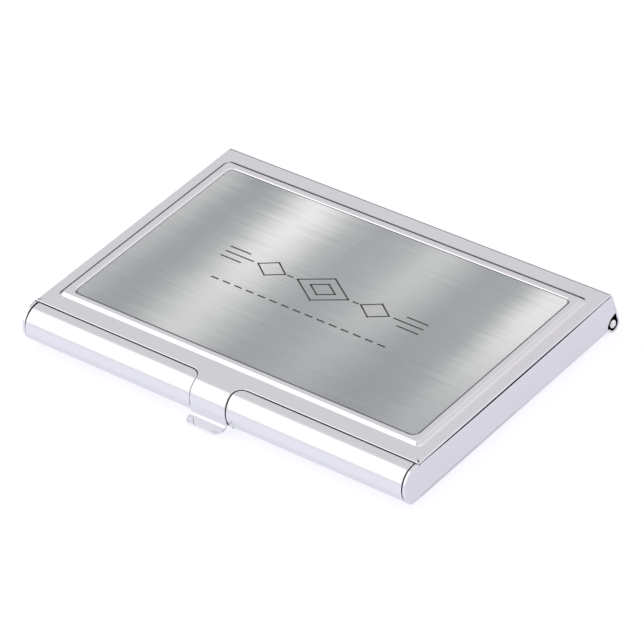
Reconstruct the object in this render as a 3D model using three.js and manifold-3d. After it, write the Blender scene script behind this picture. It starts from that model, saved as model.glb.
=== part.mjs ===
// Business card case: a flat hinged box folded from polished sheet steel.
//
// Row frame (mm): +X runs along the hinge, +Y points to the hinge side (rear),
// +Z is up through the lid. The origin is the centre of the footprint on the
// plane that the case lies on.
//
// Working frame of the profiles below: x = 0 at the left edge of the lid,
// y = 0 at the lid's rear edge (the front is negative), z = 0 at the flat
// frame of the lid's top. One group moves the finished pieces to the row frame.

import * as THREE from 'three';
import { mergeVertices } from 'three/addons/utils/BufferGeometryUtils.js';
import Module from 'manifold-3d';

// ---------------------------------------------------------------- dimensions
const WIDTH = 93.0;            // along the hinge, outside the side walls
const LID_FRONT = -55.8;       // front edge of the lid's flat frame
const LID_T = 0.45;            // lid sheet
const LID_CORNER = 0.9;        // plan radius of the lid's front corners
const BASE_T = 0.5;            // base sheet
const GAP = 0.3;               // running gap between lid and base

const BASE_BOTTOM = -8.15;     // underside of the base floor
const BEND_R = 1.4;            // outside of the bends between floor and side walls
const WALL_TOP = -0.65;        // top edge of the side walls, under the lid
const ROLL_R = 4.075;          // outer radius of the rolled front
const ROLL_CY = -56.4;         // centre of the rolled front
const ROLL_CZ = BASE_BOTTOM + ROLL_R;
const FLOOR_REAR = -2.35;      // rear edge of the floor beside the knuckle

const RIM_SIDE = 2.5;          // flat frame, side edge to the foot of the rim
const RIM_FRONT = 3.2;         // flat frame, front edge to the foot of the rim
const RIM_REAR = 3.5;          // flat frame, rear edge to the foot of the rim
const RIM_H = 0.65;            // height of the pressed rim
const RIM_SLOPE = 0.62;        // width of the rim's slope
const RIM_R = 1.6;             // plan radius of the rim's crest

const POCKET_X = 4.95;         // side edge to the recess for the insert
const POCKET_REAR = -5.5;
const POCKET_FRONT = -50.5;
const POCKET_R = 1.8;
const POCKET_Z = -0.2;         // recess floor
const ADHESIVE_T = 0.1;
const INSERT_T = 0.35;
const INSERT_Z = 0.0;          // underside of the insert
const INSERT_CLEAR = 0.08;     // insert to recess wall

const TAB_X = WIDTH / 2;       // thumb tab, centred on the front
const TAB_HW = 4.3;            // half width
const TAB_R = 2.4;             // plan fillets into the lid's front edge
const TAB_TIP = -63.1;         // front edge of the thumb lip
const TAB_CORNER = 2.0;        // plan radius of the lip's corners
const TAB_PROUD = 0.0;         // the tab stands proud of the roll's front
const LIP_Z = -6.6;            // middle of the lip's sheet

const PIN_Y = -0.1;            // hinge axis
const PIN_Z = -6.85;
const PIN_R = 0.85;
const PIN_PROUD = 0.15;        // each domed end stands proud of the side wall
const CURL_R = 1.7;            // outside of the hinge curls
const KNUCKLE_0 = 22.0;        // the base's knuckle lies between these
const KNUCKLE_1 = 71.0;

const SPRING_T = 0.3;          // card spring: a bowed leaf on the floor
const SPRING_W = 12.0;
const SPRING_Y = -28.0;
const SPRING_FLAT = 8.0;       // half length welded flat to the floor
const SPRING_PEAK = 30.0;      // half length to the crest of the bow
const SPRING_END = 33.5;
const SPRING_RISE = 1.35;

const LOWEST = PIN_Z - CURL_R;             // underside of the hinge curls
const REARMOST = PIN_Y + CURL_R;
const MID_Y = (TAB_TIP + REARMOST) / 2;

// ------------------------------------------------------------------ geometry
const wasm = await Module();
wasm.setup();

function solid(geometry) {
  const g = geometry.clone();
  for (const name of Object.keys(g.attributes)) if (name !== 'position') g.deleteAttribute(name);
  const m = mergeVertices(g, 1e-5);
  const position = m.attributes.position;
  const index = m.index.array;
  const tris = [];
  for (let i = 0; i < index.length; i += 3) {
    const a = index[i], b = index[i + 1], c = index[i + 2];
    if (a !== b && b !== c && c !== a) tris.push(a, b, c);
  }
  return new wasm.Manifold(new wasm.Mesh({
    numProp: 3,
    vertProperties: new Float32Array(position.array),
    triVerts: new Uint32Array(tris),
  }));
}

function buffer(manifold) {
  const mesh = manifold.simplify(0.004).getMesh();
  const g = new THREE.BufferGeometry();
  g.setAttribute('position', new THREE.BufferAttribute(new Float32Array(mesh.vertProperties), 3));
  g.setIndex(new THREE.BufferAttribute(new Uint32Array(mesh.triVerts), 1));
  const flat = g.toNonIndexed();
  flat.computeVertexNormals();
  return flat;
}

function extrude(points, depth, bevel) {
  const shape = new THREE.Shape(points.map(([u, v]) => new THREE.Vector2(u, v)));
  return new THREE.ExtrudeGeometry(shape, { depth, steps: 1, bevelEnabled: false, ...bevel });
}

// outline in XY, raised along Z
function prismZ(points, z0, z1) {
  const g = extrude(points, z1 - z0);
  g.translate(0, 0, z0);
  return solid(g);
}

// section in YZ, run along X
function prismX(points, x0, x1) {
  const g = extrude(points, x1 - x0);
  g.applyMatrix4(new THREE.Matrix4().set(0, 0, 1, x0, 1, 0, 0, 0, 0, 1, 0, 0, 0, 0, 0, 1));
  return solid(g);
}

// section in XZ, run along Y
function prismY(points, y0, y1) {
  const g = extrude(points.map(([x, z]) => [z, x]), y1 - y0);
  g.applyMatrix4(new THREE.Matrix4().set(0, 1, 0, 0, 0, 0, 1, y0, 1, 0, 0, 0, 0, 0, 0, 1));
  return solid(g);
}

function block(x0, x1, y0, y1, z0, z1) {
  const g = new THREE.BoxGeometry(x1 - x0, y1 - y0, z1 - z0);
  g.translate((x0 + x1) / 2, (y0 + y1) / 2, (z0 + z1) / 2);
  return solid(g);
}

function arc(cx, cy, r, a0, a1, n) {
  const out = [];
  for (let i = 0; i <= n; i++) {
    const a = (a0 + (a1 - a0) * i / n) * Math.PI / 180;
    out.push([cx + r * Math.cos(a), cy + r * Math.sin(a)]);
  }
  return out;
}

function roundedRect(x0, y0, x1, y1, r, n = 6) {
  return [
    ...arc(x1 - r, y0 + r, r, -90, 0, n),
    ...arc(x1 - r, y1 - r, r, 0, 90, n),
    ...arc(x0 + r, y1 - r, r, 90, 180, n),
    ...arc(x0 + r, y0 + r, r, 180, 270, n),
  ];
}

// closed outline of a bent sheet of thickness t, from its middle line
function sheet(line, t) {
  const path = line.filter((p, i) => i === 0 || Math.hypot(p[0] - line[i - 1][0], p[1] - line[i - 1][1]) > 1e-4);
  const left = [], right = [];
  for (let i = 0; i < path.length; i++) {
    const p = path[i];
    const a = path[Math.max(i - 1, 0)], b = path[Math.min(i + 1, path.length - 1)];
    const d0 = i > 0 ? norm(p[0] - a[0], p[1] - a[1]) : null;
    const d1 = i < path.length - 1 ? norm(b[0] - p[0], b[1] - p[1]) : null;
    const u = d0 || d1, v = d1 || d0;
    let nx = -(u[1] + v[1]), ny = u[0] + v[0];
    const l = Math.hypot(nx, ny);
    nx /= l; ny /= l;
    const k = (t / 2) / (nx * -u[1] + ny * u[0]);
    left.push([p[0] + nx * k, p[1] + ny * k]);
    right.push([p[0] - nx * k, p[1] - ny * k]);
  }
  return [...left, ...right.reverse()];
}

function norm(x, y) {
  const l = Math.hypot(x, y);
  return [x / l, y / l];
}

// sloped step: an outline raised to z1, spreading by `spread` down to z0
function frustum(outline, z0, z1, spread) {
  const g = extrude(outline, 0.05, { bevelEnabled: true, bevelThickness: z1 - z0, bevelSize: spread, bevelSegments: 1 });
  g.translate(0, 0, z0 - 0.05);
  const top = block(-10, WIDTH + 10, LID_FRONT - 10, 10, z0 - 0.03, z1 + 1);
  return solid(g).intersect(top);
}

// ------------------------------------------------------------------ thumb tab
// plan outline of the tab, grown by `grow` for the slot around it
function tabOutline(grow) {
  const hw = TAB_HW + grow, r = TAB_R - grow, c = TAB_CORNER + grow;
  const y0 = LID_FRONT - grow, yr = y0 - r, tip = TAB_TIP - grow;
  return [
    [TAB_X + hw + r, y0 + 0.6 + grow],
    [TAB_X - hw - r, y0 + 0.6 + grow],
    ...arc(TAB_X - hw - r, yr, r, 90, 0, 8),
    ...arc(TAB_X - hw + c, tip + c, c, 180, 270, 8),
    ...arc(TAB_X + hw - c, tip + c, c, 270, 360, 8),
    ...arc(TAB_X + hw + r, yr, r, 180, 90, 8),
  ];
}

const tabR = ROLL_R + TAB_PROUD - LID_T / 2;
const lipR = 0.95;
const tabLine = [
  [LID_FRONT + 0.5, -LID_T / 2],
  ...arc(ROLL_CY, -ROLL_R - TAB_PROUD, tabR, 90, 180, 18),
  ...arc(ROLL_CY - tabR - lipR, LIP_Z + lipR, lipR, 0, -90, 8),
  [TAB_TIP - 2, LIP_Z],
];
const tab = prismX(sheet(tabLine, LID_T), TAB_X - 10, TAB_X + 10)
  .intersect(prismZ(tabOutline(0), -9, 2));

// ------------------------------------------------------------------ lid cover
const REAR_BEND = 0.85;
const curlMid = CURL_R - LID_T / 2;
const lean = 10.52;            // degrees that the rear wall leans out
const wallStart = [
  [-REAR_BEND - 0.2, -LID_T / 2],
  ...arc(-0.35, -REAR_BEND, REAR_BEND - LID_T / 2, 90, lean, 6),
];
const rearWall = [              // rear wall of the lid, rolled around the pin
  ...wallStart,
  ...arc(PIN_Y, PIN_Z, curlMid, lean, -246, 34),
  [PIN_Y + 0.32, PIN_Z + 1.86],
];

const lidPlan = [
  ...arc(WIDTH - LID_CORNER, LID_FRONT + LID_CORNER, LID_CORNER, -90, 0, 6),
  [WIDTH, -REAR_BEND], [0, -REAR_BEND],
  ...arc(LID_CORNER, LID_FRONT + LID_CORNER, LID_CORNER, 180, 270, 6),
];
const crest = (grow) => roundedRect(
  RIM_SIDE + RIM_SLOPE - grow, LID_FRONT + RIM_FRONT + RIM_SLOPE - grow,
  WIDTH - RIM_SIDE - RIM_SLOPE + grow, -RIM_REAR - RIM_SLOPE + grow, RIM_R + grow);
const pocket = (grow) => roundedRect(
  POCKET_X - grow, POCKET_FRONT - grow, WIDTH - POCKET_X + grow, POCKET_REAR + grow, POCKET_R + grow);

const lid = prismZ(lidPlan, -LID_T, 0)
  .add(frustum(crest(0), 0, RIM_H, RIM_SLOPE))
  .subtract(frustum(crest(-0.36), -LID_T, RIM_H - LID_T, RIM_SLOPE))
  .add(prismZ(pocket(LID_T), POCKET_Z - LID_T, RIM_H))
  .subtract(prismZ(pocket(0), POCKET_Z, 3))
  .add(prismX(sheet(rearWall, LID_T), 0, WIDTH)
    .subtract(block(KNUCKLE_0, KNUCKLE_1, -4, 4, -10, PIN_Z + CURL_R + 0.55))
    // the end of each curl stops inside the side wall
    .subtract(block(-1, BASE_T + GAP, -4, 0.2, PIN_Z - 0.85, -3.4))
    .subtract(block(WIDTH - BASE_T - GAP, WIDTH + 1, -4, 0.2, PIN_Z - 0.85, -3.4)))
  .add(tab);

// -------------------------------------------------------------------- insert
const plate = prismZ(pocket(-INSERT_CLEAR), INSERT_Z, INSERT_Z + INSERT_T);
const adhesive = prismZ(pocket(-1.2), INSERT_Z - 0.05 - ADHESIVE_T, INSERT_Z - 0.05);

// ---------------------------------------------------------------- base shell
const T = BASE_T;
const channel = [               // floor and side walls, seen along Y
  [0, WALL_TOP], ...arc(BEND_R, BASE_BOTTOM + BEND_R, BEND_R, 180, 270, 7),
  ...arc(WIDTH - BEND_R, BASE_BOTTOM + BEND_R, BEND_R, 270, 360, 7), [WIDTH, WALL_TOP],
  [WIDTH - T, WALL_TOP], ...arc(WIDTH - BEND_R, BASE_BOTTOM + BEND_R, BEND_R - T, 0, -90, 5),
  ...arc(BEND_R, BASE_BOTTOM + BEND_R, BEND_R - T, 270, 180, 5), [T, WALL_TOP],
];
const sideRear = [              // rear end of a side wall, around the hinge curl
  [ROLL_CY, BASE_BOTTOM], [FLOOR_REAR, BASE_BOTTOM],
  ...arc(PIN_Y, PIN_Z, CURL_R + 0.25, 199, 118, 8),
  [PIN_Y + 0.74, PIN_Z + 2.25], [-0.02, -1.0],
  [-0.15, WALL_TOP], [ROLL_CY, WALL_TOP],
];
const sideFront = [             // front end of a side wall: the outline of the roll
  [ROLL_CY, BASE_BOTTOM], [LID_FRONT - GAP + 2, BASE_BOTTOM], [LID_FRONT - GAP + 2, WALL_TOP],
  [LID_FRONT - 0.2, WALL_TOP], [LID_FRONT - 0.2, 0],
  ...arc(ROLL_CY, ROLL_CZ, ROLL_R, 90, 270, 28),
];
const sidePlan = prismX(sideRear, -1, WIDTH + 1);
const walls = prismY(channel, ROLL_CY, 2).intersect(sidePlan);
const sideEnd = prismX(sideFront, 0, T).add(prismX(sideFront, WIDTH - T, WIDTH));

const rollLine = [
  [-50, BASE_BOTTOM + T / 2],
  ...arc(ROLL_CY, ROLL_CZ, ROLL_R - T / 2, 270, 90, 28),
  [LID_FRONT - GAP, -T / 2],
];
const roll = prismX(sheet(rollLine, T), T + GAP, WIDTH - T - GAP);

const knuckleMid = CURL_R - T / 2;
const knuckleLine = [
  [-6, BASE_BOTTOM + T / 2], [-3.6, BASE_BOTTOM + T / 2],
  [-2.9, BASE_BOTTOM + T / 2 - 0.02], [-2.15, BASE_BOTTOM + T / 2 - 0.12], [-1.45, BASE_BOTTOM + T / 2 - 0.25],
  ...arc(PIN_Y, PIN_Z, knuckleMid, -112, 150, 28),
];
const knuckle = prismX(sheet(knuckleLine, T), KNUCKLE_0 + GAP, KNUCKLE_1 - GAP);
const floorTongue = block(KNUCKLE_0 + GAP, KNUCKLE_1 - GAP, -6, -3.2, BASE_BOTTOM, BASE_BOTTOM + T);

// the channel's floor is cut back behind FLOOR_REAR for the lid's curls
const floorCut = block(1.6, WIDTH - 1.6, -3.2, 4, -9, -5);
const base = walls.subtract(floorCut)
  .add(block(BEND_R, KNUCKLE_0 - 0.2, -6, FLOOR_REAR, BASE_BOTTOM, BASE_BOTTOM + T))
  .add(block(KNUCKLE_1 + 0.2, WIDTH - BEND_R, -6, FLOOR_REAR, BASE_BOTTOM, BASE_BOTTOM + T))
  .add(floorTongue)
  .add(knuckle)
  .add(roll)
  .add(sideEnd)
  .subtract(prismZ(tabOutline(GAP), -6.6, 2));

// ----------------------------------------------------------------- hinge pin
const pinEnd = 0.5;             // height of the peened dome on each end
const pinProfile = [
  new THREE.Vector2(0, 0),
  ...[15, 30, 45, 60, 75, 90].map((a) => new THREE.Vector2(
    PIN_R * Math.sin(a * Math.PI / 180), pinEnd * (1 - Math.cos(a * Math.PI / 180)))),
  ...[90, 75, 60, 45, 30, 15].map((a) => new THREE.Vector2(
    PIN_R * Math.sin(a * Math.PI / 180), WIDTH + 2 * PIN_PROUD - pinEnd * (1 - Math.cos(a * Math.PI / 180)))),
  new THREE.Vector2(0, WIDTH + 2 * PIN_PROUD),
];
const pinGeometry = new THREE.LatheGeometry(pinProfile, 24);
pinGeometry.applyMatrix4(new THREE.Matrix4().makeRotationZ(-Math.PI / 2));
pinGeometry.translate(-PIN_PROUD, PIN_Y, PIN_Z);

// --------------------------------------------------------------- card spring
const springFloor = BASE_BOTTOM + T + 0.05 + SPRING_T / 2;
const springLine = [];
function bow(x) {
  const a = Math.abs(x);
  if (a <= SPRING_FLAT) return springFloor;
  if (a <= SPRING_PEAK) {
    const u = (a - SPRING_FLAT) / (SPRING_PEAK - SPRING_FLAT);
    return springFloor + SPRING_RISE * (1 - Math.cos(Math.PI * u)) / 2;
  }
  const u = (a - SPRING_PEAK) / (SPRING_END - SPRING_PEAK);
  return springFloor + SPRING_RISE - 0.9 * u * u;
}
for (const x of [-33.5, -32.5, -31.3, -30, -28, -25.5, -23, -20.5, -18, -15.5, -13, -10.5, -8,
  8, 10.5, 13, 15.5, 18, 20.5, 23, 25.5, 28, 30, 31.3, 32.5, 33.5]) {
  springLine.push([WIDTH / 2 + x, bow(x)]);
}
const spring = prismY(sheet(springLine, SPRING_T), SPRING_Y - SPRING_W / 2, SPRING_Y + SPRING_W / 2)
  .intersect(prismZ(roundedRect(WIDTH / 2 - SPRING_END, SPRING_Y - SPRING_W / 2,
    WIDTH / 2 + SPRING_END, SPRING_Y + SPRING_W / 2, 2.5), -9, 0));

// ------------------------------------------------------------------ assembly
const polished = () => new THREE.MeshStandardMaterial({ color: 0xd4d3d8, roughness: 0.12, metalness: 1.0 });
const satin = () => new THREE.MeshStandardMaterial({ color: 0xb9bec0, roughness: 0.35, metalness: 1.0 });
const brushed = () => new THREE.MeshStandardMaterial({ color: 0xa8adad, roughness: 0.3, metalness: 0.9 });
const glue = () => new THREE.MeshStandardMaterial({ color: 0xe6e2d4, roughness: 0.8, metalness: 0.0 });

const pieces = new THREE.Group();
pieces.position.set(-WIDTH / 2, -MID_Y, -LOWEST);

function add(name, geometry, material) {
  const mesh = new THREE.Mesh(geometry, material);
  mesh.name = name;
  pieces.add(mesh);
}

add('base_shell', buffer(base), polished());
add('lid_cover', buffer(lid), polished());
add('insert_plate', buffer(plate), brushed());
add('insert_adhesive', buffer(adhesive), glue());
add('hinge_pin', pinGeometry, polished());
add('card_spring', buffer(spring), satin());

const cardCase = new THREE.Group();
cardCase.add(pieces);

export default cardCase;
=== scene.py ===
import math

import bpy
from mathutils import Matrix, Vector, geometry


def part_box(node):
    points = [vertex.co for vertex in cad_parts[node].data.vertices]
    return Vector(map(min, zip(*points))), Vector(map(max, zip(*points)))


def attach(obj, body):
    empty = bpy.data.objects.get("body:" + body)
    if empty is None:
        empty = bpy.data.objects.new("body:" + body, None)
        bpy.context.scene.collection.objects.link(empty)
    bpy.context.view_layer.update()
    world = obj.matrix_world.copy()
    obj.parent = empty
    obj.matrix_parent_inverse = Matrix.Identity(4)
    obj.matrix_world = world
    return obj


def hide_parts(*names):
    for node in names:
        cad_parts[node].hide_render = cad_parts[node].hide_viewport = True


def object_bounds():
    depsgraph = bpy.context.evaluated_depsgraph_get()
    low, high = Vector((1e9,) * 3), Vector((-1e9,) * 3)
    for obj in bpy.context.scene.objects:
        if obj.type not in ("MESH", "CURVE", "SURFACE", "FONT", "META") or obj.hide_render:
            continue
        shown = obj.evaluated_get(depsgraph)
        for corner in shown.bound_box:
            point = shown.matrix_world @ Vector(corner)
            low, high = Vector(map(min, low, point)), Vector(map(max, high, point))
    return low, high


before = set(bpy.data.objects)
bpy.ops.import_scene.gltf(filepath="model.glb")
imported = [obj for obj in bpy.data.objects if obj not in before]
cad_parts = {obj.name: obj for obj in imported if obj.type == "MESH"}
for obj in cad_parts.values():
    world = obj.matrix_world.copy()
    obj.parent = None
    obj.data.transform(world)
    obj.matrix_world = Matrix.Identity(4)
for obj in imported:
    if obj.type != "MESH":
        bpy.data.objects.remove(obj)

MM = 0.001
start_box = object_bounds()
start_box = [list(start_box[0]), list(start_box[1])]

# ------------------------------------------------------------------ placement
# Profiles are written in millimetres from the lid's rear left corner: x along
# the hinge, y = 0 at the lid's rear edge with the front negative, z = 0 on the
# lid's flat frame. The CAD nodes' boxes give the shift to the row frame.
lid_lo, lid_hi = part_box("lid_cover")
WIDTH = (lid_hi.x - lid_lo.x) / MM
RIM_H = 0.65
TAB_TIP = -63.1
SX, SY, SZ = lid_lo.x / MM, lid_lo.y / MM - TAB_TIP, lid_hi.z / MM - RIM_H


def place(p):
    return ((p[0] + SX) * MM, (p[1] + SY) * MM, (p[2] + SZ) * MM)


# ----------------------------------------------------------------- dimensions
LID_T, BASE_T, GAP = 0.45, 0.5, 0.3
LID_FRONT = -55.8
BOTTOM = -8.15
BEND_R = 1.4
WALL_TOP = -0.65
ROLL_R, ROLL_Y = 4.075, -56.4
ROLL_Z = BOTTOM + ROLL_R
FLOOR_REAR = -2.05
RIM = (2.5, 3.2, 3.5, 1.35)        # side, front, rear margin and radius at the foot
CREST = (3.12, 3.82, 4.12, 1.6)
POCKET = (4.95, 5.3, 5.5, 1.25)
POCKET_Z = -0.2
INSERT_Z, INSERT_T = 0.0, 0.35
TAB_X = WIDTH / 2
TAB_HW, TAB_R, TAB_CORNER = 4.3, 2.4, 1.8
LIP_Z, LIP_R = -6.6, 0.95
PIN_Y, PIN_Z, PIN_R = -0.1, -6.85, 0.85
PIN_PROUD = 0.15
CURL_R = 1.7
K0, K1 = 22.0, 71.0
LEAN = 10.52
LID_CORNER = 0.45
TAB_PROUD = 0.0
INSERT_GAIN = 0.88
POCKET_EDGE = 0.3           # rounding of the recess edge: depth and width
POCKET_ROLL = 0.75
END_SKIN = 0.12              # the side walls stand this far out of the lid's sides


# ------------------------------------------------------------------- builders
class Sheet:
    """A bent sheet: every vertex has an outer and an inner place, and the cut
    edges are closed at the end."""

    def __init__(self):
        self.top, self.bot, self.key, self.faces = [], [], {}, []

    def v(self, t, b):
        k = tuple(round(c * 1000) for c in t)
        i = self.key.get(k)
        if i is None:
            i = len(self.top)
            self.key[k] = i
            self.top.append(tuple(t))
            self.bot.append(tuple(b))
        return i

    def face(self, ids):
        ids = [i for j, i in enumerate(ids) if i != ids[j - 1]]
        if len(set(ids)) >= 3:
            self.faces.append(ids)

    def rows(self, rows):
        """rows: lists of vertex ids of one length; winding is row by row, left to right."""
        for a, b in zip(rows, rows[1:]):
            for k in range(len(a) - 1):
                self.face([a[k], a[k + 1], b[k + 1], b[k]])

    def flat(self, loops, normal):
        """Fills a flat outline with holes. Loops are lists of vertex ids."""
        ids = [i for loop in loops for i in loop]
        tris = geometry.tessellate_polygon([[Vector(self.top[i]) for i in loop] for loop in loops])
        def turn(tri):
            a, b, c = (Vector(self.top[ids[k]]) for k in tri)
            return (b - a).cross(c - a).dot(normal)

        # points in line give triangles with no area; they keep the winding of the rest
        total = sum(turn(tri) for tri in tris)
        for tri in tris:
            d = turn(tri)
            if abs(d) < 1e-7:
                d = total
            order = tri if d > 0 else tri[::-1]
            self.face([ids[k] for k in order])

    def build(self, name, soft=None, flip=False):
        """soft(point) gives the share of the full edge rounding at a place on the cut edge"""
        n = len(self.top)
        verts = [place(p) for p in self.top] + [place(p) for p in self.bot]
        faces = [list(f) for f in self.faces]
        used = set()
        for f in faces:
            for a, b in zip(f, f[1:] + f[:1]):
                used.add((a, b))
        out = faces + [[i + n for i in reversed(f)] for f in faces]
        for a, b in sorted(used):
            if (b, a) not in used:
                out.append([b, a, a + n, b + n])
        if flip:
            out = [list(reversed(f)) for f in out]
        ob = mesh_object(name, verts, out)
        rim = set()
        for a, b in used:
            if (b, a) not in used:
                rim.add((min(a, b), max(a, b)))
                rim.add((min(a, b) + n, max(a, b) + n))
        layer = ob.data.attributes.new("bevel_weight_edge", "FLOAT", "EDGE")
        for e in ob.data.edges:
            a, b = sorted(e.vertices)
            if (a, b) in rim:
                m = mix(self.top[a % n], self.top[b % n], 0.5)
                layer.data[e.index].value = 1.0 if soft is None else soft(m)
        return ob


def mesh_object(name, verts, faces):
    me = bpy.data.meshes.new(name)
    me.from_pydata(verts, [], faces)
    me.update(calc_edges=True)
    me.validate()
    ob = bpy.data.objects.new(name, me)
    bpy.context.scene.collection.objects.link(ob)
    me.polygons.foreach_set("use_smooth", [True] * len(me.polygons))
    return ob


def edges(ob, width, segments=3):
    """Rounded cut edges, then normals that keep the flats flat."""
    m = ob.modifiers.new("edge", "BEVEL")
    m.width = width * MM
    m.segments = segments
    m.limit_method = "WEIGHT"
    m.use_clamp_overlap = False
    m.loop_slide = False
    m.harden_normals = False
    w = ob.modifiers.new("normals", "WEIGHTED_NORMAL")
    w.mode = "FACE_AREA"
    w.weight = 60
    w.keep_sharp = True


def arc(cx, cy, r, a0, a1, n):
    return [(cx + r * math.cos(math.radians(a0 + (a1 - a0) * i / n)),
             cy + r * math.sin(math.radians(a0 + (a1 - a0) * i / n))) for i in range(n + 1)]


def rounded(m, n=10, grow=0.0):
    """A rounded rectangle on the lid from its margins (side, front, rear, radius), counterclockwise."""
    s, f, b, r = m
    s, f, b, r = s - grow, f - grow, b - grow, max(r + grow, 0.05)
    x0, x1, y0, y1 = s, WIDTH - s, LID_FRONT + f, -b
    pts = []
    for cx, cy, a in ((x1 - r, y0 + r, -90), (x1 - r, y1 - r, 0), (x0 + r, y1 - r, 90), (x0 + r, y0 + r, 180)):
        pts += arc(cx, cy, r, a, a + 90, n)
    return pts


def mix(a, b, t):
    return tuple(x + (y - x) * t for x, y in zip(a, b))


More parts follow.
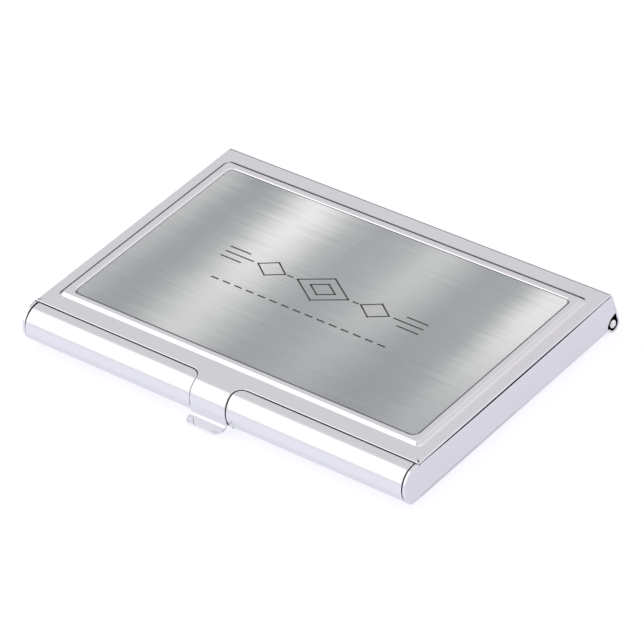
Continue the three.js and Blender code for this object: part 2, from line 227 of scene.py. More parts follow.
# ------------------------------------------------------------------ lid cover
def make_lid():
    s = Sheet()
    T = LID_T

    # rim and recess: loops from the foot inwards. The rim is pressed up with a
    # slow foot, a steep face and a rounded shoulder.
    steps = [(0.0, 0.0), (0.10, 0.20), (0.42, 0.36), (0.60, 1.0), (0.92, 1.0), (1.15, 0.0)]

    def press():
        out, z, n = [(0.0, 0.0)], 0.0, 0
        for (d0, s0), (d1, s1) in zip(steps, steps[1:]):
            for k in range(1, 7):
                a, b = d0 + (d1 - d0) * (k - 1) / 6, d0 + (d1 - d0) * k / 6
                sa, sb = s0 + (s1 - s0) * (k - 1) / 6, s0 + (s1 - s0) * k / 6
                z += (sa + sb) / 2 * (b - a)
                out.append((b, z))
        return [(d, v * RIM_H / z) for d, v in out]

    loops = []

    def loop(top_m, top_z, bot_m, bot_z):
        a, b = rounded(top_m), rounded(bot_m)
        loops.append([s.v((p[0], p[1], top_z), (q[0], q[1], bot_z)) for p, q in zip(a, b)])

    def foot(d):
        """margins measured inwards from the start of the rim's foot"""
        return (RIM[0] - 0.3 + d, RIM[1] - 0.3 + d, RIM[2] - 0.3 + d, RIM[3] + 0.3 - d)

    loop(foot(-0.35), 0, foot(-0.35), -T)
    for d, z in press():
        loop(foot(d), z, foot(d + 0.24 * min(1, z / 0.3)), z - T)

    def inner(d, extra=0.0):
        """margins measured outwards from the recess edge by d"""
        return (POCKET[0] - d, POCKET[1] - d, POCKET[2] - d, POCKET[3] + d + extra)

    rf = POCKET_EDGE
    rw = POCKET_ROLL
    loop(inner(rw + 0.12), RIM_H, inner(rw + 0.2), RIM_H - T)
    for k in range(13):
        r = math.radians(90 - 7.5 * k)
        loop(inner(rw - rw * math.cos(r)), RIM_H - rf + rf * math.sin(r),
             inner(rw + 0.05 - (rw - 0.4) * k / 12), RIM_H - T - 0.015 * k)
    loop(inner(0.0), POCKET_Z + 0.08, inner(0.45), POCKET_Z - T + 0.12)
    loop(inner(-0.03), POCKET_Z + 0.02, inner(0.40), POCKET_Z - T + 0.04)
    loop(inner(-0.1), POCKET_Z, inner(0.28), POCKET_Z - T)
    loop(inner(-1.6), POCKET_Z, inner(-1.6), POCKET_Z - T)
    for a, b in zip(loops, loops[1:]):
        n = len(a)
        for k in range(n):
            s.face([a[k], a[(k + 1) % n], b[(k + 1) % n], b[k]])
    s.flat([loops[-1]], Vector((0, 0, 1)))

    # thumb tab: rows from the front edge to the tip of the lip
    yr = LID_FRONT - TAB_R
    stations = [((-56.3, 0), (-56.3, -T))]
    tr = ROLL_R + TAB_PROUD
    stations += list(zip(arc(ROLL_Y, -tr, tr, 90, 180, 40), arc(ROLL_Y, -tr, tr - T, 90, 180, 40)))
    bend_y = ROLL_Y - tr + T / 2 - LIP_R
    stations.append(((ROLL_Y - tr, -4.8), (ROLL_Y - tr + T, -4.8)))
    stations += list(zip(arc(bend_y, LIP_Z + LIP_R, LIP_R - T / 2, 0, -90, 14),
                         arc(bend_y, LIP_Z + LIP_R, LIP_R + T / 2, 0, -90, 14)))
    tc = TAB_HW - TAB_CORNER
    tip_y = TAB_TIP + TAB_CORNER
    stations.append(((tip_y, LIP_Z + T / 2), (tip_y, LIP_Z - T / 2)))
    tab_rows = []
    for (ty, tz), (by, bz) in stations:
        hw = TAB_HW
        if ty > yr:
            hw += TAB_R - math.sqrt(max(TAB_R ** 2 - (ty - yr) ** 2, 0))
        xs = [TAB_X - hw, TAB_X - hw + 0.45, TAB_X - tc, TAB_X, TAB_X + tc, TAB_X + hw - 0.45, TAB_X + hw]
        tab_rows.append([s.v((x, ty, tz), (x, by, bz)) for x in xs])
    s.rows([list(reversed(r)) for r in tab_rows])
    last = tab_rows[-1]

    def lip(x, y):
        return s.v((TAB_X + x, y, LIP_Z + T / 2), (TAB_X + x, y, LIP_Z - T / 2))

    right = [last[6]] + [lip(x, y) for x, y in arc(tc, tip_y, TAB_CORNER, 0, -90, 12)[1:]]
    left = [lip(x, y) for x, y in arc(-tc, tip_y, TAB_CORNER, -90, -180, 12)[:-1]] + [last[0]]
    s.face([last[5], right[1], right[0]])
    s.face([last[4], right[1], last[5]])
    for k in range(1, 12):
        s.face([last[4], right[k + 1], right[k]])
    s.face([last[3], last[2], left[0], right[12], last[4]])
    for k in range(11):
        s.face([last[2], left[k + 1], left[k]])
    s.face([last[2], last[1], left[11]])
    s.face([last[1], last[0], left[11]])

    # rear bend, wall and hinge curls
    prof = [((-1.3, 0), (-1.3, -T)), ((-0.9, 0), (-0.9, -T))]
    prof += list(zip(arc(-0.35, -0.85, 0.85, 90, LEAN, 12), arc(-0.35, -0.85, 0.85 - T, 90, LEAN, 12)))
    w0 = prof[-1]
    c, sn = math.cos(math.radians(LEAN)), math.sin(math.radians(LEAN))
    ring0 = ((PIN_Y + CURL_R * c, PIN_Z + CURL_R * sn), (PIN_Y + (CURL_R - T) * c, PIN_Z + (CURL_R - T) * sn))
    cut = (w0[0][1] - (PIN_Z + CURL_R + 0.55)) / (w0[0][1] - ring0[0][1])
    for t in (0.05, 0.5, cut):
        prof.append((mix(w0[0], ring0[0], t), mix(w0[1], ring0[1], t)))
    window = len(prof) - 1
    prof.append((mix(w0[0], ring0[0], 0.95), mix(w0[1], ring0[1], 0.95)))
    prof += list(zip(arc(PIN_Y, PIN_Z, CURL_R, LEAN, -246, 36), arc(PIN_Y, PIN_Z, CURL_R - T, LEAN, -246, 36)))
    mid0 = mix(prof[-1][0], prof[-1][1], 0.5)
    end = (PIN_Y + 0.32, PIN_Z + 1.86)
    d = Vector((end[0] - mid0[0], end[1] - mid0[1])).normalized()
    nrm = Vector((-d[1], d[0])) * (T / 2)
    for t in (0.25, 1.0):
        p = mix(mid0, end, t)
        prof.append(((p[0] + nrm[0], p[1] + nrm[1]), (p[0] - nrm[0], p[1] - nrm[1])))
    xs = [0, 0.4, 0.8, 1.15, K0 - 0.3, K0, K1, K1 + 0.3, WIDTH - 1.15, WIDTH - 0.8, WIDTH - 0.4, WIDTH]
    rows = [[s.v((x, o[0], o[1]), (x, i[0], i[1])) for x in xs] for o, i in prof[:window + 1]]
    s.rows([list(reversed(r)) for r in reversed(rows)])
    short = window + 2 + 25                # the curls' ends stop inside the side walls
    for group, last in ((xs[:3], short), (xs[2:6], len(prof)), (xs[6:10], len(prof)), (xs[9:], short)):
        part = [[s.v((x, o[0], o[1]), (x, i[0], i[1])) for x in group] for o, i in prof[window:last]]
        s.rows([list(reversed(r)) for r in reversed(part)])

    # flat frame
    yg = LID_FRONT + 1.0

    def q(x, y):
        return s.v((x, y, 0), (x, y, -T))

    for side in (0, 1):
        def put(ids, side=side):
            s.face(ids if side == 0 else ids[::-1])

        def X(v, side=side):
            return v if side == 0 else WIDTH - v

        S, G = q(X(0), yg), q(X(1.15), yg)
        corner = [q(X(x), y) for x, y in arc(LID_CORNER, LID_FRONT + LID_CORNER, LID_CORNER, 180, 270, 8)]
        corner.append(q(X(1.15), LID_FRONT))
        S2 = q(X(0.4), yg)
        put([S, corner[0], S2])
        put([S2, corner[0], G])
        for i, j in zip(corner, corner[1:]):
            put([i, j, G])
        back = [q(X(x), -1.3) for x in (0, 0.4, 0.8, 1.15)]
        put([back[0], S, S2, back[1]])
        put([S2, back[2], back[1]])
        put([S2, back[3], back[2]])
        put([S2, G, back[3]])
    root = []
    for a in range(90, 53, -6):
        r = math.radians(a)
        root.append((TAB_HW + TAB_R - TAB_R * math.cos(r), yr + TAB_R * math.sin(r)))
    front = [q(1.15, LID_FRONT)] + [q(TAB_X - h, y) for h, y in root] + tab_rows[0]
    front += [q(TAB_X + h, y) for h, y in reversed(root)] + [q(WIDTH - 1.15, LID_FRONT)]
    guard = [q(s.top[i][0], yg) for i in front]
    for i in range(len(front) - 1):
        s.face([guard[i], front[i], front[i + 1], guard[i + 1]])
    outer = [q(x, -1.3) for x in reversed(xs[3:-3])] + guard
    s.flat([outer, list(reversed(loops[0]))], Vector((0, 0, 1)))

    def soft(p):
        if p[0] < 0.2 or p[0] > WIDTH - 0.2:
            return 0.25 if p[1] > LID_FRONT + 1 else 0.6
        if p[1] > -2.5:
            return 0.5
        return 1.0

    return s.build("lid_sheet", soft)


# ----------------------------------------------------------------- base shell
def make_base():
    s = Sheet()
    T = BASE_T
    down = Vector((0, 0, -1))

    # rolled front, in rows from the floor up
    nb, nt = 16, 50
    a_notch = 180 + math.degrees(math.asin((ROLL_Z + 6.6) / ROLL_R))
    angles = [270 + (a_notch - 270) * i / nb for i in range(nb + 1)]
    angles += [a_notch + (90 - a_notch) * i / nt for i in range(1, nt + 1)]
    hw = TAB_HW + GAP
    rn = TAB_R - GAP
    yr = LID_FRONT - GAP - rn
    rows, cut = [], nb
    stations = []

    def table(pairs, a):
        for (a0, g0), (a1, g1) in zip(pairs, pairs[1:]):
            if a0 <= a <= a1:
                return g0 + (g1 - g0) * (a - a0) / (a1 - a0)
        return pairs[0][1] if a < pairs[0][0] else pairs[-1][1]

    for a in angles:
        c, sn = math.cos(math.radians(a)), math.sin(math.radians(a))
        end_gap = table([(90, 0.42), (120, 0.32), (150, 0.17), (178, 0.06), (270, 0.06)], a)
        far_gap = 0.26
        stations.append(((ROLL_Y + ROLL_R * c, ROLL_Z + ROLL_R * sn), (ROLL_Y + (ROLL_R - T) * c, ROLL_Z + (ROLL_R - T) * sn), end_gap, far_gap))
    for (ty, tz), (by, bz), end_gap, far_gap in stations:
        f = 0.0
        if ty > yr and tz > -3:
            f = rn - math.sqrt(max(rn ** 2 - min(ty - yr, rn) ** 2, 0))
        w = BOTTOM + BEND_R - tz if tz < ROLL_Z else 0.0
        w = BEND_R if abs(ty - ROLL_Y) < 1e-6 and tz < ROLL_Z else w + 0.1
        xa, xb = max(T + end_gap, w), WIDTH - max(T + far_gap, w)
        # the tab lies against the left edge of its notch below the top bend
        close = 0.24
        left = TAB_X - hw - f + close
        xs = [xa, xa + 0.35, 30.0, left - 1.1, left - 0.4, left, TAB_X + hw + f, TAB_X + hw + f + 0.4, TAB_X + hw + f + 1.1, WIDTH - 30.0, xb - 0.35, xb]
        rows.append([s.v((x, ty, tz), (x, by, bz)) for x in xs])
    s.rows(rows[:cut + 1])
    s.rows([r[:6] for r in rows[cut:]])
    s.rows([r[6:] for r in rows[cut:]])
    # the flat strip behind the roll, with the top of the notch's fillets
    y1 = LID_FRONT - GAP
    top = [s.top[i] for i in rows[-1]]
    a_top = math.degrees(math.asin((ROLL_Y - yr) / rn))
    curve = []
    for k in range(1, 7):
        r = math.radians(a_top + (90 - a_top) * k / 6)
        curve.append((rn - rn * math.cos(r), yr + rn * math.sin(r)))
    for half, base_x, sgn in ((rows[-1][:6], TAB_X - hw, -1), (rows[-1][6:][::-1], TAB_X + hw, 1)):
        close = 0.24 if sgn < 0 else 0.0
        back = [s.v((s.top[i][0], y1, 0), (s.top[i][0], y1, -T)) for i in half[:3]]
        turn = [s.v((base_x + sgn * f + close, y, 0), (base_x + sgn * f + close, y, -T)) for f, y in curve]
        back.append(turn[-1])
        for i in range(3):
            q = [half[i], half[i + 1], back[i + 1], back[i]]
            s.face(q if sgn < 0 else q[::-1])
        # half[3], half[4] and half[5] meet the fillet
        tris = [(half[3], turn[4], turn[5]), (half[3], turn[3], turn[4]), (half[3], turn[2], turn[3]),
                (half[3], half[4], turn[2]), (half[4], turn[1], turn[2]), (half[4], turn[0], turn[1]),
                (half[4], half[5], turn[0])]
        for q in tris:
            s.face(list(q) if sgn < 0 else list(q)[::-1])

    # side walls with their bends and front ends
    ends = {}
    for side in (0, 1):
        def X(v):
            return v if side == 0 else WIDTH - v

        bend = []
        z_foot = BOTTOM + BEND_R
        a_foot = 180 - math.degrees(math.asin((z_foot - ROLL_Z) / ROLL_R))
        for i in range(1, 9):
            a = math.radians(a_foot + (270 - a_foot) * i / 9)
            y, h = ROLL_Y + ROLL_R * math.cos(a), z_foot - ROLL_Z - ROLL_R * math.sin(a)
            hi, ri = max(h, T), max(h - T, 0.0)
            row = []
            for k in range(15):
                c, sn = math.cos(math.radians(180 + 90 * k / 14)), math.sin(math.radians(180 + 90 * k / 14))
                row.append(s.v((X(h + (h + END_SKIN) * c), y, z_foot + h * sn),
                               (X(hi + ri * c), y, z_foot - h + T + ri * (1 + sn))))
            bend.append(row)
        taper = len(bend)
        for y, d in ((ROLL_Y, 0.0), (FLOOR_REAR, 0.3)):
            bend.append([s.v((X(BEND_R + (BEND_R + END_SKIN) * math.cos(a)), y + e, BOTTOM + BEND_R + BEND_R * math.sin(a)),
                             (X(BEND_R + (BEND_R - T) * math.cos(a)), y + e, BOTTOM + BEND_R + (BEND_R - T) * math.sin(a)))
                         for a, e in [(math.radians(180 + 90 * i / 14), d * math.sin(math.pi * min(1.0, i / 13))) for i in range(15)]])
        s.rows(bend if side == 0 else [list(reversed(r)) for r in bend])
        ends[side] = [r[-1] for r in bend[taper:]]
        foot = [r[0] for r in bend]

        def w(y, z):
            return s.v((X(-END_SKIN), y, z), (X(T), y, z))

        wall = list(foot)
        wall += [w(y, z) for y, z in arc(PIN_Y, PIN_Z, CURL_R + 0.25, 176, 118, 10)]
        wall += [w(PIN_Y + 0.74, PIN_Z + 2.25), w(-0.02, -1.0), w(-0.12, -0.52)]
        for y, z in ((-2.0, -0.52), (-6.0, -0.56), (-10.0, -0.62), (-16.0, -0.68), (-24.0, -0.71), (-32.0, -0.71),
                     (-40.0, -0.68), (-46.0, -0.63), (-50.0, -0.58), (-53.0, -0.53), (-55.0, -0.50)):
            wall.append(w(y, z))
        wall += [w(LID_FRONT - 0.07, -0.50), w(LID_FRONT - 0.07, 0)]
        wall += [w(y, z) for y, z in arc(ROLL_Y, ROLL_Z, ROLL_R, 90, a_foot, 50)]
        s.flat([wall], Vector((-1 if side == 0 else 1, 0, 0)))

    # middle hinge knuckle
    k0, k1 = K0 + GAP, K1 - GAP
    a0 = -112
    p3 = Vector((PIN_Y + (CURL_R - T / 2) * math.cos(math.radians(a0)), PIN_Z + (CURL_R - T / 2) * math.sin(math.radians(a0))))
    t3 = Vector((-math.sin(math.radians(a0)), math.cos(math.radians(a0))))
    p0 = Vector((-3.4, BOTTOM + T / 2))
    p1 = p0 + Vector((1.3, 0))
    p2 = p3 - t3 * 0.95
    prof = [((-3.6, BOTTOM), (-3.6, BOTTOM + T))]
    for i in range(12):
        t = i / 12
        p = (1 - t) ** 3 * p0 + 3 * (1 - t) ** 2 * t * p1 + 3 * (1 - t) * t * t * p2 + t ** 3 * p3
        d = (3 * (1 - t) ** 2 * (p1 - p0) + 6 * (1 - t) * t * (p2 - p1) + 3 * t * t * (p3 - p2)).normalized()
        n = Vector((d[1], -d[0])) * (T / 2)
        prof.append((tuple(p + n), tuple(p - n)))
    prof += list(zip(arc(PIN_Y, PIN_Z, CURL_R, a0, 150, 34), arc(PIN_Y, PIN_Z, CURL_R - T, a0, 150, 34)))
    xs = [k0, k0 + 0.3, k1 - 0.3, k1]
    krows = [[s.v((x, o[0], o[1]), (x, i[0], i[1])) for x in xs] for o, i in prof]
    s.rows([list(reversed(r)) for r in krows])

    # floor
    def f(x, y):
        return s.v((x, y, BOTTOM), (x, y, BOTTOM + T))

    fore = list(rows[0])
    rear = [ends[0][-1], f(K0 - 0.2, FLOOR_REAR - 0.12), f(K0 - 0.2, -3.6)] + krows[0]
    rear += [f(K1 + 0.2, -3.6), f(K1 + 0.2, FLOOR_REAR - 0.12), ends[1][-1]]
    i = j = 0
    while i < len(fore) - 1 or j < len(rear) - 1:
        if j == len(rear) - 1 or (i < len(fore) - 1 and s.top[fore[i + 1]][0] <= s.top[rear[j + 1]][0]):
            s.face([rear[j], fore[i + 1], fore[i]])
            i += 1
        else:
            s.face([fore[i], rear[j], rear[j + 1]])
            j += 1

    def soft(p):
        if p[0] < 0.2 or p[0] > WIDTH - 0.2:
            if p[1] > -55.6:
                return 0.0 if p[2] < BOTTOM + BEND_R else 0.3
            return 0.0 if p[2] < BOTTOM + BEND_R + 0.5 else 0.8
        if p[2] < -6.0 and p[1] < -50.0 and (p[0] < 3.0 or p[0] > WIDTH - 3.0):
            return 0.0
        if p[2] < -6.0:
            return 0.3
        return 0.9

    return s.build("base_sheet", soft)


# ------------------------------------------------------------ small components
def make_plate(name, margins, z0, z1, n=12):
    s = Sheet()
    pts = rounded(margins, n)
    s.flat([[s.v((x, y, z1), (x, y, z0)) for x, y in pts]], Vector((0, 0, 1)))
    return s.build(name)


def make_pin():
    prof = [(0.0, 0.0)]
    dome = 0.42
    for a in range(8, 91, 8):
        prof.append((dome * (1 - math.cos(math.radians(a))), PIN_R * math.sin(math.radians(a))))
    prof += [(dome, PIN_R), (dome + 0.2, PIN_R)]
    half = prof[:]
    length = WIDTH + 2 * PIN_PROUD
    prof += [(length - x, r) for x, r in reversed(half)]
    seg = 40
    verts, faces = [], []
    for x, r in prof[1:-1]:
        for k in range(seg):
            a = 2 * math.pi * k / seg
            verts.append(place((x - PIN_PROUD, PIN_Y + r * math.cos(a), PIN_Z + r * math.sin(a))))
    rings = len(prof) - 2
    a0 = len(verts)
    verts += [place((-PIN_PROUD, PIN_Y, PIN_Z)), place((length - PIN_PROUD, PIN_Y, PIN_Z))]
    for j in range(rings - 1):
        for k in range(seg):
            n = (k + 1) % seg
            faces.append([j * seg + k, j * seg + n, (j + 1) * seg + n, (j + 1) * seg + k])
    for k in range(seg):
        n = (k + 1) % seg
        faces.append([a0, n, k])
        faces.append([a0 + 1, (rings - 1) * seg + k, (rings - 1) * seg + n])
    return mesh_object("pin_wire", verts, faces)


def make_spring():
    s = Sheet()
    T, half_w, yc = 0.3, 6.0, -28.0
    zf = BOTTOM + BASE_T + 0.05 + T / 2
    flat, peak, end, rise = 8.0, 30.0, 33.5, 1.35

    def bow(a):
        if a <= flat:
            return zf
        if a <= peak:
            return zf + rise * (1 - math.cos(math.pi * (a - flat) / (peak - flat))) / 2
        return zf + rise - 0.9 * ((a - peak) / (end - peak)) ** 2

    ts = [end - 2.5 * (1 - math.sin(math.radians(90 * k / 8))) for k in range(8, -1, -1)]
    ts = sorted(set([0.0, 4.0, 7.5, flat] + [flat + (peak - flat) * i / 24 for i in range(1, 25)] + ts))
    line = [-t for t in reversed(ts) if t > 0] + ts
    rows = []
    for x in line:
        a = abs(x)
        e = 1e-3
        d = Vector((2 * e, bow(a + e) - bow(max(a - e, 0)) if a > 0 else 0)).normalized()
        sign = 1 if x >= 0 else -1
        n = Vector((-d[1] * sign, d[0])) * (T / 2)
        hw = half_w
        c = a - (end - 2.5)
        if c > 0:
            hw -= 2.5 - math.sqrt(max(2.5 ** 2 - c * c, 0))
        z = bow(a)
        rows.append([s.v((WIDTH / 2 + x + n[0], yc + y, z + n[1]), (WIDTH / 2 + x - n[0], yc + y, z - n[1]))
                     for y in (-hw, -hw + 0.2, 0.0, hw - 0.2, hw)])
    s.rows([list(reversed(r)) for r in rows])
    return s.build("spring_leaf")


def make_ornament():
    """Plain drawn lines on the insert: a long lozenge between rules, and a row of short dashes."""
    verts, faces = [], []
    z0, z1 = INSERT_Z + INSERT_T, INSERT_Z + INSERT_T + 0.012

    def stroke(a, b, w):
        a, b = Vector(a), Vector(b)
        d = (b - a).normalized() * (w / 2)
        n = Vector((-d[1], d[0]))
        q = [a - d + n, a - d - n, b + d - n, b + d + n]
        i = len(verts)
        for z in (z0, z1):
            verts.extend(place((p[0], p[1], z)) for p in q)
        faces.extend([[i + 4, i + 5, i + 6, i + 7], [i + 3, i + 2, i + 1, i]])
        for k in range(4):
            m = (k + 1) % 4
            faces.append([i + k, i + m, i + 4 + m, i + 4 + k])

    cx, cy = 45.9, -26.1
    w = 0.3
    # lozenges
    for dx, hx, hy in ((0, 6.2, 3.7), (0, 3.0, 1.8), (-12.6, 3.4, 2.2), (12.6, 3.4, 2.2)):
        p = [(cx + dx - hx, cy), (cx + dx, cy - hy), (cx + dx + hx, cy), (cx + dx, cy + hy)]
        for k in range(4):
            stroke(p[k], p[(k + 1) % 4], w)
    # rules
    for sgn in (-1, 1):
        stroke((cx + sgn * 7.4, cy), (cx + sgn * 8.6, cy), w)
        stroke((cx + sgn * 17.2, cy), (cx + sgn * 24.0, cy), w)
        stroke((cx + sgn * 19.2, cy + 1.5), (cx + sgn * 24.0, cy + 1.5), w)
        stroke((cx + sgn * 19.2, cy - 1.5), (cx + sgn * 24.0, cy - 1.5), w)
    for k in range(-7, 8):
        x = cx + k * 2.9
        stroke((x - 0.75, cy - 7.5), (x + 0.75, cy - 7.5), 0.34)
    return mesh_object("ornament_print", verts, faces)


# ------------------------------------------------------------------ materials
def nodes_of(name):
    m = bpy.data.materials.new(name)
    m.use_nodes = True
    nt = m.node_tree
    bsdf = nt.nodes["Principled BSDF"]
    return m, nt, bsdf


def node(nt, kind, **inputs):
    n = nt.nodes.new(kind)
    for k, v in inputs.items():
        n.inputs[k.replace("_", " ")].default_value = v
    return n


def polished(name, tint, rough, scratch_axis=(1, 1, 1), bump=0.02):
    """Buffed sheet steel: very fine polishing marks and faint clouding."""
    m, nt, bsdf = nodes_of(name)
    L = nt.links.new
    bsdf.inputs["Metallic"].default_value = 1.0
    tc = nt.nodes.new("ShaderNodeTexCoord")
    cloud = node(nt, "ShaderNodeTexNoise", Scale=55.0, Detail=4.0, Roughness=0.55)
    L(tc.outputs["Object"], cloud.inputs["Vector"])
    mp = node(nt, "ShaderNodeMapping", Scale=(260.0, 5200.0, 5200.0))
    L(tc.outputs["Object"], mp.inputs["Vector"])
    buff = node(nt, "ShaderNodeTexNoise", Scale=1.0, Detail=3.0, Roughness=0.6)
    L(mp.outputs["Vector"], buff.inputs["Vector"])
    ramp = nt.nodes.new("ShaderNodeMapRange")
    ramp.inputs["From Min"].default_value = 0.3
    ramp.inputs["From Max"].default_value = 0.7
    ramp.inputs["To Min"].default_value = rough * 0.8
    ramp.inputs["To Max"].default_value = rough * 1.3
    L(cloud.outputs["Fac"], ramp.inputs["Value"])
    L(ramp.outputs["Result"], bsdf.inputs["Roughness"])
    col = nt.nodes.new("ShaderNodeMix")
    col.data_type = "RGBA"
    col.inputs["A"].default_value = (*[c * 0.985 for c in tint], 1)
    col.inputs["B"].default_value = (*[min(c * 1.015, 1) for c in tint], 1)
    L(buff.outputs["Fac"], col.inputs["Factor"])
    L(col.outputs["Result"], bsdf.inputs["Base Color"])
    b = node(nt, "ShaderNodeBump", Strength=bump, Distance=0.00002)
    L(buff.outputs["Fac"], b.inputs["Height"])
    L(b.outputs["Normal"], bsdf.inputs["Normal"])
    return m


def brushed_insert():
    """Brushed plate: straight fine lines along X, with soft highlight bands painted into its colour across it,
    brighter at the rear than at the front.
    """
    m, nt, bsdf = nodes_of("insert_brushed")
    L = nt.links.new
    bsdf.inputs["Metallic"].default_value = 0.35
    tc = nt.nodes.new("ShaderNodeTexCoord")
    sep = nt.nodes.new("ShaderNodeSeparateXYZ")
    L(tc.outputs["Object"], sep.inputs["Vector"])

    # brush lines: long in X, fine in Y
    mp = node(nt, "ShaderNodeMapping", Scale=(60.0, 5200.0, 60.0))
    L(tc.outputs["Object"], mp.inputs["Vector"])
    fine = node(nt, "ShaderNodeTexNoise", Scale=1.0, Detail=5.0, Roughness=0.7)
    L(mp.outputs["Vector"], fine.inputs["Vector"])
    mp2 = node(nt, "ShaderNodeMapping", Scale=(14.0, 900.0, 14.0))
    L(tc.outputs["Object"], mp2.inputs["Vector"])
    broad = node(nt, "ShaderNodeTexNoise", Scale=1.0, Detail=3.0, Roughness=0.6)
    L(mp2.outputs["Vector"], broad.inputs["Vector"])

    # the painted highlight bands waver from line to line
    wob = nt.nodes.new("ShaderNodeMath")
    wob.operation = "MULTIPLY_ADD"
    L(broad.outputs["Fac"], wob.inputs[0])
    wob.inputs[1].default_value = 0.0045
    L(sep.outputs["X"], wob.inputs[2])
    u = nt.nodes.new("ShaderNodeMapRange")
    u.inputs["From Min"].default_value = SX * MM + 0.00225
    u.inputs["From Max"].default_value = SX * MM + WIDTH * MM + 0.00225
    L(wob.outputs["Value"], u.inputs["Value"])
    # painted highlight: tones of the bands of sheen across the plate, read off at these places along X
    places = (6, 11, 16, 21, 27, 32, 37, 42, 47, 53, 58, 63, 68, 73, 79, 84)

    def painted_sheen_bands(values):
        band = nt.nodes.new("ShaderNodeValToRGB")
        band.color_ramp.interpolation = "CARDINAL"
        cr = band.color_ramp
        while len(cr.elements) < len(values):
            cr.elements.new(0.5)
        for e, x, g in zip(cr.elements, places, values):
            e.position = x / WIDTH
            lin = ((g / 255 + 0.055) / 1.055) ** 2.4
            e.color = (lin, lin, lin, 1)
        L(u.outputs["Result"], band.inputs["Fac"])
        return band.outputs["Color"]

    # painted sheen: the rear ramp is brighter than the front ramp, so the bands fade towards the front
    rear = painted_sheen_bands((197, 172, 171, 198, 240, 229, 196, 176, 174, 186, 203, 194, 174, 169, 185, 234))
    front = painted_sheen_bands((182, 168, 168, 188, 211, 211, 193, 173, 166, 172, 177, 171, 162, 160, 168, 180))
    v = nt.nodes.new("ShaderNodeMapRange")
    v.interpolation_type = "SMOOTHSTEP"
    v.inputs["From Min"].default_value = (SY - 50.0) * MM
    v.inputs["From Max"].default_value = (SY - 8.0) * MM
    L(sep.outputs["Y"], v.inputs["Value"])
    amp = nt.nodes.new("ShaderNodeMix")
    amp.data_type = "RGBA"
    L(v.outputs["Result"], amp.inputs["Factor"])
    L(front, amp.inputs["A"])
    L(rear, amp.inputs["B"])
    shade = nt.nodes.new("ShaderNodeMath")
    shade.operation = "MULTIPLY_ADD"
    L(fine.outputs["Fac"], shade.inputs[0])
    shade.inputs[1].default_value = 0.42
    shade.inputs[2].default_value = 1.0 - 0.21
    lines = nt.nodes.new("ShaderNodeMath")
    lines.operation = "MULTIPLY"
    L(amp.outputs["Result"], lines.inputs[0])
    L(shade.outputs["Value"], lines.inputs[1])
    # the painted bands' darker tones get a slightly blue tint
    col = nt.nodes.new("ShaderNodeValToRGB")
    col.color_ramp.elements[0].position = 0.0
    col.color_ramp.elements[0].color = (0.0, 0.0, 0.0, 1)
    col.color_ramp.elements[1].position = 1.0
    col.color_ramp.elements[1].color = (INSERT_GAIN * 0.995, INSERT_GAIN, INSERT_GAIN * 1.01, 1)
    mid = col.color_ramp.elements.new(0.42)
    mid.color = (INSERT_GAIN * 0.42 * 0.945, INSERT_GAIN * 0.42, INSERT_GAIN * 0.42 * 1.045, 1)
    L(lines.outputs["Value"], col.inputs["Fac"])
    L(col.outputs["Color"], bsdf.inputs["Base Color"])
    rg = nt.nodes.new("ShaderNodeMapRange")
    rg.inputs["To Min"].default_value = 0.32
    rg.inputs["To Max"].default_value = 0.46
    L(fine.outputs["Fac"], rg.inputs["Value"])
    L(rg.outputs["Result"], bsdf.inputs["Roughness"])
    b = node(nt, "ShaderNodeBump", Strength=0.12, Distance=0.00002)
    L(fine.outputs["Fac"], b.inputs["Height"])
    L(b.outputs["Normal"], bsdf.inputs["Normal"])
    return m


def spring_steel():
    m, nt, bsdf = nodes_of("spring_strip")
    L = nt.links.new
    bsdf.inputs["Metallic"].default_value = 1.0
    tc = nt.nodes.new("ShaderNodeTexCoord")
    mp = node(nt, "ShaderNodeMapping", Scale=(120.0, 3800.0, 3800.0))
    L(tc.outputs["Object"], mp.inputs["Vector"])
    roll = node(nt, "ShaderNodeTexNoise", Scale=1.0, Detail=4.0, Roughness=0.65)
    L(mp.outputs["Vector"], roll.inputs["Vector"])
    col = nt.nodes.new("ShaderNodeMix")
    col.data_type = "RGBA"
    col.inputs["A"].default_value = (0.42, 0.43, 0.44, 1)
    col.inputs["B"].default_value = (0.60, 0.60, 0.60, 1)
    L(roll.outputs["Fac"], col.inputs["Factor"])
    L(col.outputs["Result"], bsdf.inputs["Base Color"])
    rg = nt.nodes.new("ShaderNodeMapRange")
    rg.inputs["To Min"].default_value = 0.22
    rg.inputs["To Max"].default_value = 0.42
    L(roll.outputs["Fac"], rg.inputs["Value"])
    L(rg.outputs["Result"], bsdf.inputs["Roughness"])
    b = node(nt, "ShaderNodeBump", Strength=0.15, Distance=0.00002)
    L(roll.outputs["Fac"], b.inputs["Height"])
    L(b.outputs["Normal"], bsdf.inputs["Normal"])
    return m


def ink():
    m, nt, bsdf = nodes_of("ornament_ink")
    L = nt.links.new
    tc = nt.nodes.new("ShaderNodeTexCoord")
    mp = node(nt, "ShaderNodeMapping", Scale=(60.0, 5200.0, 60.0))
    L(tc.outputs["Object"], mp.inputs["Vector"])
    n = node(nt, "ShaderNodeTexNoise", Scale=1.0, Detail=4.0, Roughness=0.7)
    L(mp.outputs["Vector"], n.inputs["Vector"])
    col = nt.nodes.new("ShaderNodeMix")
    col.data_type = "RGBA"
    col.inputs["A"].default_value = (0.018, 0.019, 0.020, 1)
    col.inputs["B"].default_value = (0.060, 0.062, 0.064, 1)
    L(n.outputs["Fac"], col.inputs["Factor"])
    L(col.outputs["Result"], bsdf.inputs["Base Color"])
    bsdf.inputs["Roughness"].default_value = 0.45
    return m


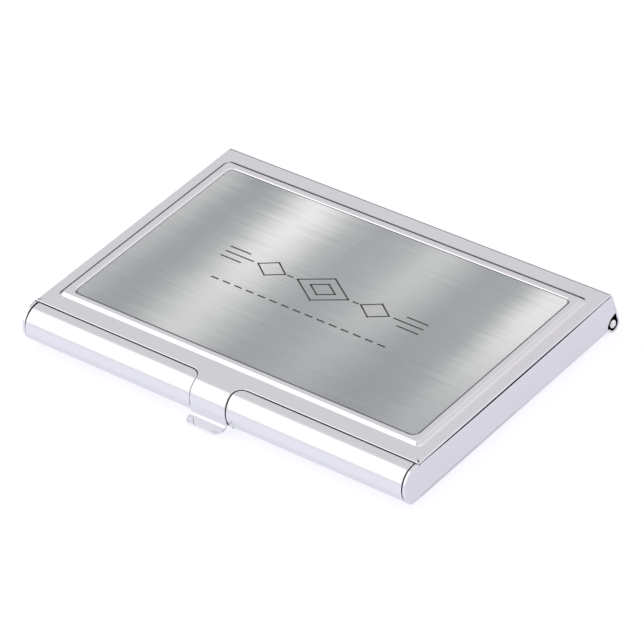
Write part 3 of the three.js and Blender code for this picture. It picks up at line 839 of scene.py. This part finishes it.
def film():
    m, nt, bsdf = nodes_of("adhesive_film")
    L = nt.links.new
    tc = nt.nodes.new("ShaderNodeTexCoord")
    n = node(nt, "ShaderNodeTexNoise", Scale=900.0, Detail=3.0, Roughness=0.6)
    L(tc.outputs["Object"], n.inputs["Vector"])
    col = nt.nodes.new("ShaderNodeMix")
    col.data_type = "RGBA"
    col.inputs["A"].default_value = (0.72, 0.69, 0.61, 1)
    col.inputs["B"].default_value = (0.84, 0.81, 0.74, 1)
    L(n.outputs["Fac"], col.inputs["Factor"])
    L(col.outputs["Result"], bsdf.inputs["Base Color"])
    bsdf.inputs["Roughness"].default_value = 0.75
    return m


STEEL = (0.655, 0.65, 0.70)
lid_steel = polished("lid_polished_steel", STEEL, 0.10)
base_steel = polished("base_polished_steel", STEEL, 0.13)
pin_steel = polished("pin_polished_steel", (0.70, 0.70, 0.72), 0.14)


def finish_piece(ob, material, body, node_name=None):
    ob.data.materials.clear()
    ob.data.materials.append(material)
    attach(ob, body)
    if node_name:
        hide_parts(node_name)
    return ob


lid = finish_piece(make_lid(), lid_steel, "lid", "lid_cover")
edges(lid, 0.18, 4)
base = finish_piece(make_base(), base_steel, "base", "base_shell")
edges(base, 0.15, 4)
plate = finish_piece(make_plate("insert_brushed_plate", (POCKET[0] + 0.08, POCKET[1] + 0.08, POCKET[2] + 0.08, 1.17),
                                INSERT_Z, INSERT_Z + INSERT_T), brushed_insert(), "lid", "insert_plate")
edges(plate, 0.06, 2)
pin = finish_piece(make_pin(), pin_steel, "base", "hinge_pin")
spring = finish_piece(make_spring(), spring_steel(), "base", "card_spring")
edges(spring, 0.05, 2)
ornament = finish_piece(make_ornament(), ink(), "lid", None)

film_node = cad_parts["insert_adhesive"]
film_node.data.materials.clear()
film_node.data.materials.append(film())

# ---------------------------------------------------------------------- floor
me = bpy.data.meshes.new("floor")
h = 3.0
me.from_pydata([(-h, -h, 0), (h, -h, 0), (h, h, 0), (-h, h, 0)], [], [(0, 1, 2, 3)])
floor = bpy.data.objects.new("floor", me)
floor.location = (0, 0, start_box[0][2] - 0.00005)
bpy.context.scene.collection.objects.link(floor)
fm, fnt, fb = nodes_of("floor_pale")
fb.inputs["Base Color"].default_value = (0.20, 0.20, 0.21, 1)
fb.inputs["Emission Color"].default_value = (0.815, 0.82, 0.868, 1)

# the sheet glows a little; painted light: the glow is brighter towards the front, and a painted shadow lowers it
# under the case
FL = fnt.links.new
fc = fnt.nodes.new("ShaderNodeTexCoord")
fs = fnt.nodes.new("ShaderNodeSeparateXYZ")
FL(fc.outputs["Object"], fs.inputs["Vector"])


def edge(axis, p0, p1, v0, v1):
    r = fnt.nodes.new("ShaderNodeMapRange")
    r.interpolation_type = "SMOOTHSTEP"
    r.inputs["From Min"].default_value = p0 * MM
    r.inputs["From Max"].default_value = p1 * MM
    r.inputs["To Min"].default_value = v0
    r.inputs["To Max"].default_value = v1
    FL(fs.outputs[axis], r.inputs["Value"])
    return r.outputs["Result"]


def join(kind, a, b):
    q = fnt.nodes.new("ShaderNodeMath")
    q.operation = kind
    FL(a, q.inputs[0])
    FL(b, q.inputs[1])
    return q.outputs["Value"]


# painted contact shadow: the glow drops by 0.6 over the case's footprint
painted_shadow_patch = join("MULTIPLY", edge("X", SX + 1.0, SX + 2.0, 0, 1), edge("X", SX + 90.4, SX + 91.4, 1, 0))
painted_shadow_patch = join("MULTIPLY", painted_shadow_patch, edge("Y", SY - 57.2, SY - 56.2, 0, 1))
painted_shadow_patch = join("MULTIPLY", painted_shadow_patch, edge("Y", SY - 3.0, SY - 2.0, 1, 0))
# painted light: the glow is 1.18 in front of the case, falling to 1.0 further back
painted_floor_light = edge("Y", SY - 66.0, SY - 59.0, 1.18, 1.0)
half = fnt.nodes.new("ShaderNodeMath")
half.operation = "MULTIPLY"
FL(painted_shadow_patch, half.inputs[0])
half.inputs[1].default_value = 0.6
painted_floor_light = join("SUBTRACT", painted_floor_light, half.outputs["Value"])
FL(painted_floor_light, fb.inputs["Emission Strength"])
fb.inputs["Roughness"].default_value = 0.9
fb.inputs["Specular IOR Level"].default_value = 0.0
me.materials.append(fm)

# ---------------------------------------------------------------------- light
world = bpy.data.worlds.new("studio")
bpy.context.scene.world = world
world.use_nodes = True
wn = world.node_tree
bg = wn.nodes["Background"]
WL = wn.links.new
tc = wn.nodes.new("ShaderNodeTexCoord")
nrm = wn.nodes.new("ShaderNodeVectorMath")
nrm.operation = "NORMALIZE"
WL(tc.outputs["Generated"], nrm.inputs[0])


def lobe(direction, lo, hi, gain):
    """A soft box in the sky: 0 outside the cone, gain inside."""
    d = wn.nodes.new("ShaderNodeVectorMath")
    d.operation = "DOT_PRODUCT"
    v = Vector(direction).normalized()
    d.inputs[1].default_value = tuple(v)
    WL(nrm.outputs["Vector"], d.inputs[0])
    r = wn.nodes.new("ShaderNodeMapRange")
    r.interpolation_type = "SMOOTHSTEP"
    r.inputs["From Min"].default_value = lo
    r.inputs["From Max"].default_value = hi
    r.inputs["To Min"].default_value = 0.0
    r.inputs["To Max"].default_value = gain
    WL(d.outputs["Value"], r.inputs["Value"])
    return r.outputs["Result"]


def total(a, b):
    s = wn.nodes.new("ShaderNodeMath")
    s.operation = "ADD"
    if isinstance(a, float):
        s.inputs[0].default_value = a
    else:
        WL(a, s.inputs[0])
    WL(b, s.inputs[1])
    return s.outputs["Value"]


def times(a, b):
    s = wn.nodes.new("ShaderNodeMath")
    s.operation = "MULTIPLY"
    WL(a, s.inputs[0])
    WL(b, s.inputs[1])
    return s.outputs["Value"]


def height(z0, z1, v0, v1):
    """v0 below the height z0 of the sky, v1 above z1."""
    sep = wn.nodes.new("ShaderNodeSeparateXYZ")
    WL(nrm.outputs["Vector"], sep.inputs["Vector"])
    r = wn.nodes.new("ShaderNodeMapRange")
    r.interpolation_type = "SMOOTHSTEP"
    r.inputs["From Min"].default_value = z0
    r.inputs["From Max"].default_value = z1
    r.inputs["To Min"].default_value = v0
    r.inputs["To Max"].default_value = v1
    WL(sep.outputs["Z"], r.inputs["Value"])
    return r.outputs["Result"]


level = total(0.96, times(lobe((-0.60, -0.55, 0.42), 0.72, 0.84, 0.75), height(-0.05, 0.30, 0.0, 1.0)))
level = total(level, lobe((0.2, 0.1, 1.0), 0.75, 1.0, 0.25))
level = total(level, lobe((0.81, 0.55, 0.18), 0.925, 0.98, 0.75))
level = total(level, lobe((0.15, 0.55, 0.82), 0.79, 0.92, 0.08))
# a dark flag low behind the left corner draws the rims
level = total(level, times(lobe((-0.695, 0.695, 0.18), 0.82, 0.93, 1.0), height(0.34, 0.50, -0.82, 0.0)))
bg.inputs["Color"].default_value = (1.0, 0.985, 0.965, 1)
WL(level, bg.inputs["Strength"])

# --------------------------------------------------------------------- camera
cam_data = bpy.data.cameras.new("camera")
cam_data.sensor_width = 36.0
cam_data.lens = 231.75
cam_data.clip_start = 0.05
cam_data.clip_end = 20.0
cam = bpy.data.objects.new("camera", cam_data)
bpy.context.scene.collection.objects.link(cam)
right = Vector((0.756548, 0.639966, -0.134458))
down = Vector((0.310166, -0.532179, -0.787771))
ahead = Vector((-0.575702, 0.554282, -0.601114))
m = Matrix.Identity(4)
for row in range(3):
    m[row][0], m[row][1], m[row][2] = right[row], -down[row], -ahead[row]
m.translation = Vector(place((489.083, -454.396, 456.547)))
cam.matrix_world = m
bpy.context.scene.camera = cam
bpy.context.scene.view_settings.view_transform = "Standard"
